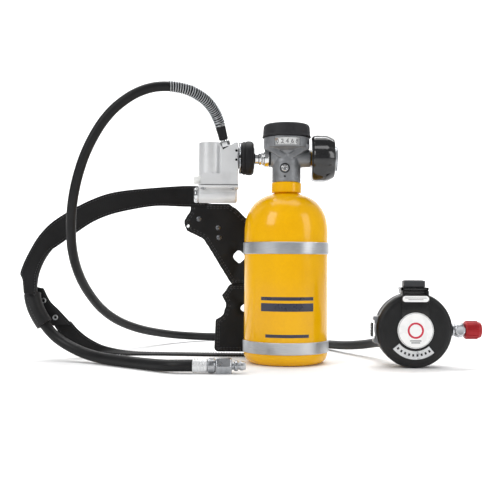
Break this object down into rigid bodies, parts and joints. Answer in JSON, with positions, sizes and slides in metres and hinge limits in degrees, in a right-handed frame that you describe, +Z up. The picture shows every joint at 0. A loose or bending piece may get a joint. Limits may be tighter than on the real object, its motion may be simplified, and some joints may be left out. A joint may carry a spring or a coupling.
{
  "type": "supplied-air respirator air pack",
  "caption": "Hip-worn air pack: escape cylinder with gauge valve, pressure reducer, breathing hose to a round demand regulator, belt, pad and airline hose.",
  "frame": {"origin": "centre of the cylinder's flat foot, on the surface it stands on", "axes": "+X towards the valve's handwheel and the regulator, +Y towards the wearer behind the hip pad, +Z up"},
  "size_m": [0.5416, 0.3849, 0.3267],
  "materials": {
    "yellow_paint": "gloss yellow paint on aluminium",
    "stainless": "brushed stainless steel",
    "chrome": "bright plated",
    "satin_aluminium": "satin cast aluminium",
    "cast_grey": "grey hard-anodised casting",
    "black_rubber": "matt moulded rubber",
    "grey_rubber": "matt dark grey rubber",
    "gloss_black": "gloss moulded plastic",
    "regulator_plastic": "semi-gloss moulded plastic",
    "black_webbing": "woven webbing",
    "black_fabric": "coated woven fabric",
    "black_leather": "grained leather",
    "white_plastic": "satin white plastic",
    "grey_plastic": "matt grey plastic",
    "clear_plastic": "clear window",
    "red_anodised": "red anodised aluminium",
    "brass": "machined brass"
  },
  "bodies": {
    "pack": {"air_cylinder": "yellow_paint", "lower_band": "stainless", "upper_band": "stainless", "cradle_plate": "cast_grey", "lower_band_bolt": "stainless", "upper_band_bolt": "stainless", "pad_flap": "black_fabric", "pad_holster": "black_fabric", "rivet_outer": "black_rubber", "rivet_upper": "black_rubber", "rivet_lower": "black_rubber", "belt_upper": "black_webbing", "belt_lower": "black_webbing", "retainer_tab": "black_leather", "hose_retainer": "black_leather", "eyelet_upper": "stainless", "eyelet_lower": "stainless", "valve_body": "cast_grey", "burst_disc_plug": "chrome", "gland_nut": "brass", "outlet_o_ring": "black_rubber", "outlet_nut": "chrome", "debris_tube": "brass", "gauge_spindle": "brass", "gauge_window": "clear_plastic", "gauge_cap": "grey_rubber", "coupling_nipple": "chrome", "reducer_body": "satin_aluminium", "lower_barrel": "satin_aluminium", "barrel_end_cap": "chrome", "relief_cap": "white_plastic", "piston_spring": "stainless", "hose_fitting": "chrome", "crimp_sleeve": "black_rubber", "breathing_hose": "black_rubber", "spring_guard": "stainless", "airline_inlet": "chrome", "airline_hose": "black_rubber", "hose_ferrule": "satin_aluminium", "plug_collar": "stainless", "plug_nipple": "stainless", "regulator_body": "regulator_plastic", "regulator_cover": "regulator_plastic", "mask_spout": "regulator_plastic", "hose_inlet": "regulator_plastic", "switch_housing": "gloss_black", "latch_frame": "stainless", "purge_valve": "stainless"},
    "handwheel": {"handwheel": "gloss_black", "wheel_hub": "stainless", "valve_stem": "stainless"},
    "seat": {"valve_seat": "brass"},
    "gauge": {"gauge_drum": "white_plastic"},
    "coupling": {"coupling_wheel": "black_rubber"},
    "piston": {"reducer_piston": "brass"},
    "diaphragm_disc": {"diaphragm": "grey_rubber"},
    "switch": {"donning_switch": "grey_plastic"},
    "latch": {"regulator_latch": "gloss_black"},
    "knob": {"purge_knob": "red_anodised"}
  },
  "joints": [
    {"name": "handwheel_turn", "type": "hinge", "parent": "pack", "child": "handwheel", "pos_m": [0.045, 0, 0.24404], "axis": [1, 0, 0], "range_deg": [0, 540]},
    {"name": "seat_lift", "type": "slide", "parent": "pack", "child": "seat", "axis": [1, 0, 0], "range_m": [0, 0.0024]},
    {"name": "gauge_turn", "type": "hinge", "parent": "pack", "child": "gauge", "pos_m": [0, 0, 0.26], "axis": [0, 0, 1], "range_deg": [-270, 0]},
    {"name": "coupling_turn", "type": "hinge", "parent": "pack", "child": "coupling", "pos_m": [-0.048, 0, 0.24404], "axis": [-1, 0, 0], "range_deg": [0, 720]},
    {"name": "piston_travel", "type": "slide", "parent": "pack", "child": "piston", "axis": [0, 0, -1], "range_m": [0, 0.002], "stiffness_N_per_m": 3000, "springref_m": -0.001, "deforming": ["piston_spring"]},
    {"name": "diaphragm_travel", "type": "slide", "parent": "pack", "child": "diaphragm_disc", "axis": [0, 1, 0], "range_m": [0, 0.002], "stiffness_N_per_m": 400, "springref_m": -0.0003},
    {"name": "donning_switch_press", "type": "slide", "parent": "pack", "child": "switch", "axis": [0, 0, -1], "range_m": [0, 0.003], "stiffness_N_per_m": 600, "springref_m": -0.001},
    {"name": "latch_press", "type": "slide", "parent": "pack", "child": "latch", "axis": [1, 0, 0], "range_m": [0, 0.0015], "stiffness_N_per_m": 600, "springref_m": -0.0005},
    {"name": "purge_knob_turn", "type": "hinge", "parent": "pack", "child": "knob", "pos_m": [0.21, -0.0397, 0.0433], "axis": [1, 0, 0], "range_deg": [0, 180]}
  ],
  "couplings": [
    {"joint": "seat_lift", "follows": "handwheel_turn", "m_per_rad": 0.00025465}
  ]
}
